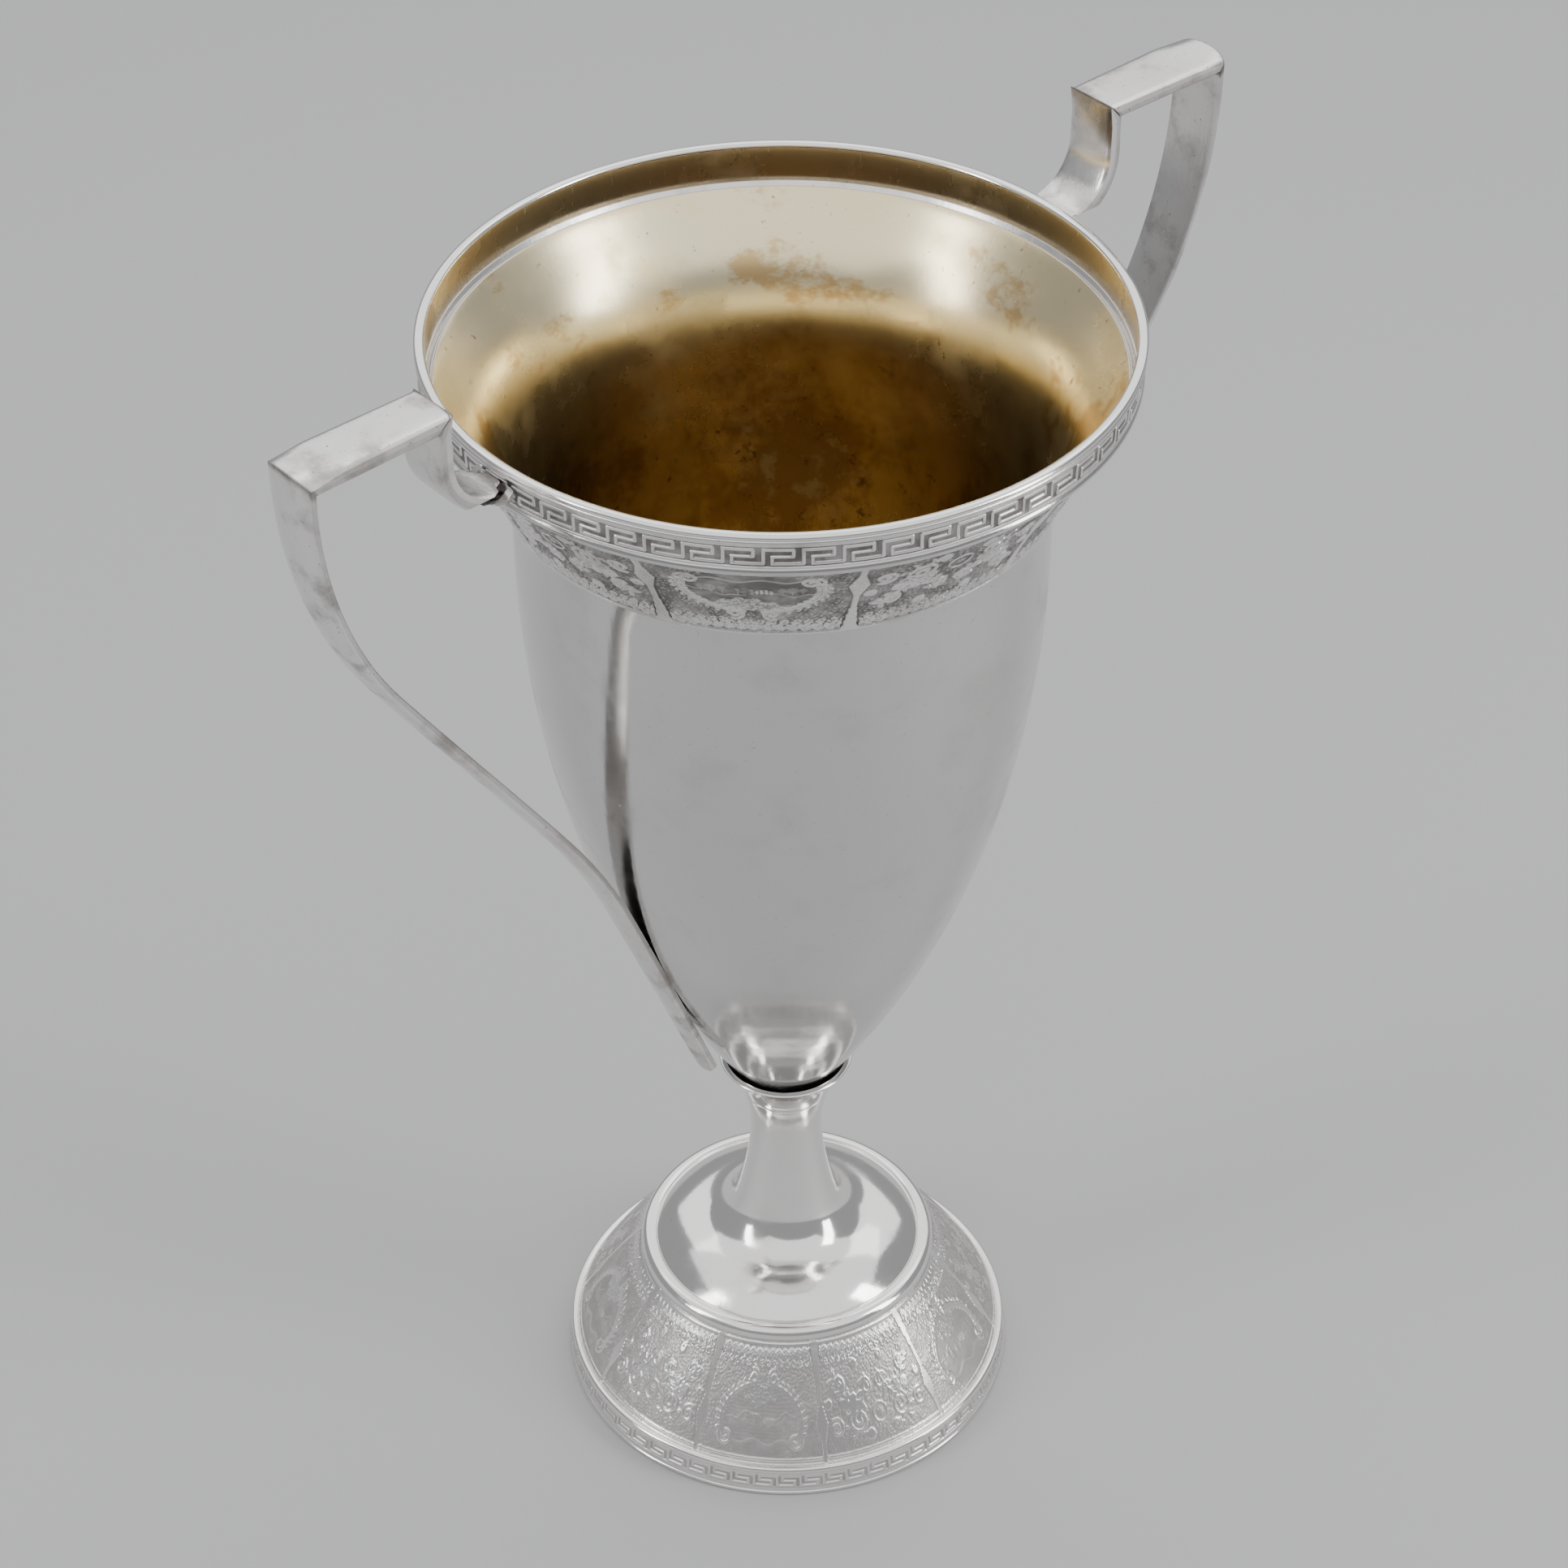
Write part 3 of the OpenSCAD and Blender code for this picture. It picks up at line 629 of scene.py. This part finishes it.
def swept(name, node, outer, inner, half, sign, crowns, mitres):
    """A bar between two matched paths: a crowned outer face, thin side flats and eased edges."""
    along, mirror = len(outer), -1 if "left" in node else 1
    crown_steps = 24
    # (across from -1 to 1, depth as a part of the thickness); a negative depth marks the crowned face
    section = []
    for k in range(crown_steps + 1):
        y = -1 + 2 * k / crown_steps
        section.append((y, -1.0 - abs(y)))
    section += [(1.0, 0.30), (1.0, 0.60), (1.0, 0.86), (0.955, 0.97)]
    section += [(0.6, 1.0), (0.0, 1.0), (-0.6, 1.0), (-0.955, 0.97), (-1.0, 0.86), (-1.0, 0.60), (-1.0, 0.30)]
    # How far a mitred end is drawn in, so the joint shows as a line
    lap = 0.00014
    crown_power, eased_edge = 2.6, 0.07
    order = [0] + list(range(along)) + [along - 1]
    vertices, relief, count = [], [], len(section)
    for place, i in enumerate(order):
        o, q, w = outer[i], inner[i], half[i]
        pinch = 0.0
        if (place == 0 and mitres[0]) or (place == len(order) - 1 and mitres[1]):
            pinch = lap
        joint = (place < 2 and mitres[0]) or (place > len(order) - 3 and mitres[1])
        for y, d in section:
            if d < 0:
                d = crowns[i] * abs(y) ** crown_power + eased_edge * max(0.0, abs(y) - 0.9) / 0.1
            else:
                d = max(d, crowns[i] + eased_edge + 0.1 * d)
            p = o + (q - o) * min(d, 1.0)
            middle = (o + q) / 2
            p = p + (middle - p) / max(np.linalg.norm(middle - p), 1e-6) * pinch
            yy = y * (w - pinch)
            vertices.append((mirror * p[0], yy, p[1]))
            # grime lies in the joint lines, and the side flats are more tarnished than the face
            relief.append(0.2 if joint else 0.55 if abs(y) == 1.0 and 0.5 < d < 0.9 else 1.0)
    faces = []
    for i in range(len(order) - 1):
        for j in range(count):
            j2 = (j + 1) % count
            quad = [i * count + j, i * count + j2, (i + 1) * count + j2, (i + 1) * count + j]
            faces.append(quad if sign > 0 else quad[::-1])
    first = list(range(count))
    last = [(len(order) - 1) * count + j for j in range(count)]
    faces.append(first[::-1] if sign > 0 else first)
    faces.append(last if sign > 0 else last[::-1])
    return new_piece(name, vertices, faces, [node], [handle_metal], relief, None, 35)


def resampled(path, values, count):
    d = np.concatenate([[0], np.cumsum(np.linalg.norm(np.diff(path, axis=0), axis=1))])
    t = np.linspace(0, d[-1], count)
    points = np.stack([np.interp(t, d, path[:, 0]), np.interp(t, d, path[:, 1])], axis=1)
    return points, np.interp(t, d, values)


def between(outline, half, start, end):
    """The two chains of a closed outline from the point nearest start to the point nearest end."""
    i = int(np.argmin(np.linalg.norm(outline - start, axis=1)))
    o, h = np.roll(outline, -i, axis=0), np.roll(half, -i)
    j = int(np.argmin(np.linalg.norm(o - end, axis=1)))
    return (o[:j + 1], h[:j + 1]), (np.vstack([o[j:], o[:1]])[::-1], np.append(h[j:], h[0])[::-1])


def mean_x(chain):
    return chain[0][:, 0].mean()


# Stations along each length of a handle, and how far the crown drops, as parts of the thickness
STRAP_STATIONS, BAR_STATIONS, RISER_STATIONS = 84, 40, 40
CROWN_CORNER, CROWN_STRAP, CROWN_TIP, CROWN_RISER, CROWN_FOOT = 0.46, 0.36, 0.30, 0.10, 0.02

for side, sign in (("left", -1), ("right", 1)):
    bar_low, bar_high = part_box(f"handle_{side}_bar")
    reach, top = max(abs(bar_low.x), abs(bar_high.x)), bar_high.z
    inner_x = min(abs(bar_low.x), abs(bar_high.x))
    thick = bar_high.z - bar_low.z

    outline, half = side_outline(f"handle_{side}_strap")
    tip = outline[int(np.argmin(outline[:, 1]))]
    one, two = between(outline, half, np.array([reach, top]), tip)
    outer_chain = max((one, two), key=mean_x)
    curve = smoothed(outer_chain[0], False, 0.003, 30.0)
    wide = np.interp(curve[:, 1], outer_chain[0][::-1, 1], outer_chain[1][::-1])
    path, width = resampled(curve, wide, STRAP_STATIONS)
    along = np.gradient(path, axis=0)
    along /= np.linalg.norm(along, axis=1, keepdims=True)
    inward = np.stack([along[:, 1], -along[:, 0]], axis=1)
    below_mitre = np.array([reach - thick, top - thick])
    corner = outline[int(np.argmin(np.linalg.norm(outline - below_mitre, axis=1)))]
    strap_t = reach - corner[0]
    under = path + inward * strap_t * np.sign(float((corner - path[0]) @ inward[0]))
    under[0] = corner
    # the first stations ease from the mitre to a square section
    for k in range(1, 4):
        if under[k][1] > corner[1]:
            under[k] = corner + (under[4] - corner) * k / 4
    swept(f"strap_{side}", f"handle_{side}_strap", path, under, width, sign,
          np.interp(np.arange(STRAP_STATIONS), [0, 20, STRAP_STATIONS - 1],
                    [CROWN_CORNER, CROWN_STRAP, CROWN_TIP]), (True, False))

    ends = np.array([[inner_x, top], [reach, top]])
    low_ends = np.array([[inner_x + thick, top - thick], [reach - strap_t, top - thick]])
    bar_half = [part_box(f"handle_{side}_riser")[1].y, bar_high.y]
    t = np.linspace(0, 1, BAR_STATIONS)[:, None]
    swept(f"top_bar_{side}", f"handle_{side}_bar", ends[0] * (1 - t) + ends[1] * t,
          low_ends[0] * (1 - t) + low_ends[1] * t, bar_half[0] + (bar_half[1] - bar_half[0]) * t[:, 0], sign,
          np.interp(t[:, 0], [0, 0.75, 1], [CROWN_RISER, 0.18, CROWN_CORNER]), (True, True))

    outline, half = side_outline(f"handle_{side}_riser")
    foot_end = outline[int(np.argmin(outline[:, 0]))]
    one, two = between(outline, half, np.array([inner_x, top]), foot_end)
    near, far = sorted((one, two), key=mean_x)
    upper, width = resampled(near[0], near[1], RISER_STATIONS)
    lower, _ = resampled(far[0], far[1], RISER_STATIONS)
    swept(f"riser_{side}", f"handle_{side}_riser", upper, lower, width, -sign,
          np.interp(np.arange(RISER_STATIONS), [0, 28, RISER_STATIONS - 1],
                    [CROWN_RISER, CROWN_RISER, CROWN_FOOT]), (True, False))

# --- Fasteners keep their CAD shapes ---
for node, mat in (("bowl_boss", brass), ("clamp_plate", brass), ("spring_washer", steel),
                  ("stud_nut", brass), ("tie_stud", brass)):
    piece = frame["nodes"][node]
    piece.data.materials.clear()
    piece.data.materials.append(mat)
    soften = piece.modifiers.new("eased_edges", "BEVEL")
    soften.width, soften.segments, soften.limit_method = 0.0003, 2, "ANGLE"
    soften.angle_limit = math.radians(40)


# --- Stage ---
def plain(name, colour, rough):
    mat = bpy.data.materials.new(name)
    mat.use_nodes = True
    shader = mat.node_tree.nodes["Principled BSDF"]
    shader.inputs["Base Color"].default_value = (*colour, 1)
    shader.inputs["Roughness"].default_value = rough
    return mat


FLOOR_SIZE = 6.0
FLOOR_GREY = (0.46, 0.46, 0.465)
# The floor lies a hair below the foot, so the two faces never coincide
DROP = 0.00005
mesh = bpy.data.meshes.new("floor")
h = FLOOR_SIZE / 2
mesh.from_pydata([(-h, -h, -DROP), (h, -h, -DROP), (h, h, -DROP), (-h, h, -DROP)], [], [(0, 1, 2, 3)])
mesh.materials.append(plain("floor_grey", FLOOR_GREY, 0.75))
floor = bpy.data.objects.new("floor", mesh)
bpy.context.scene.collection.objects.link(floor)

world = bpy.data.worlds.new("studio")
bpy.context.scene.world = world
world.use_nodes = True
world.node_tree.nodes["Background"].inputs["Color"].default_value = (0.34, 0.345, 0.36, 1)
world.node_tree.nodes["Background"].inputs["Strength"].default_value = 1.0


def softbox(name, azimuth, elevation, distance, width, height, power):
    """An area light round the middle of the cup; the azimuth is from the camera's side."""
    a, e = FACING + math.radians(azimuth), math.radians(elevation)
    target = Vector((0, 0, (cad_box[0][2] + cad_box[1][2]) / 2))
    place = target + distance * Vector((math.cos(e) * math.cos(a), math.cos(e) * math.sin(a), math.sin(e)))
    data = bpy.data.lights.new(name, "AREA")
    data.shape, data.size, data.size_y, data.energy = "RECTANGLE", width, height, power
    light = bpy.data.objects.new(name, data)
    light.location = place
    light.rotation_euler = (target - place).to_track_quat("-Z", "Y").to_euler()
    bpy.context.scene.collection.objects.link(light)


softbox("overhead", 10, 80, 1.15, 2.6, 2.6, 20)
softbox("behind", 176, 42, 1.6, 2.8, 1.3, 14)
softbox("side_right", 74, 24, 1.2, 0.30, 1.0, 7)
softbox("side_left", -68, 28, 1.3, 0.22, 0.9, 5)

# --- Camera: the solved viewpoint, in the frame of the CAD ---
CAMERA_PLACE = Vector((-0.4620, -0.5313, 0.7479))
CAMERA_FORWARD = Vector((0.5101, 0.5866, -0.6292))
CAMERA_RIGHT = Vector((0.7546, -0.6562, 0.0))
CAMERA_UP = Vector((0.4129, 0.4748, 0.7774))
CAMERA_ROLL = -0.0065
SENSOR_WIDTH, LENS = 36.0, 92.0
right = CAMERA_RIGHT * math.cos(CAMERA_ROLL) + CAMERA_UP * math.sin(CAMERA_ROLL)
up = CAMERA_UP * math.cos(CAMERA_ROLL) - CAMERA_RIGHT * math.sin(CAMERA_ROLL)
data = bpy.data.cameras.new("camera")
data.sensor_width, data.lens = SENSOR_WIDTH, LENS
data.clip_start = 0.01
camera = bpy.data.objects.new("camera", data)
turned_to = Matrix((right, up, -CAMERA_FORWARD)).transposed().to_4x4()
camera.matrix_world = Matrix.Translation(CAMERA_PLACE) @ turned_to
bpy.context.scene.collection.objects.link(camera)
bpy.context.scene.camera = camera
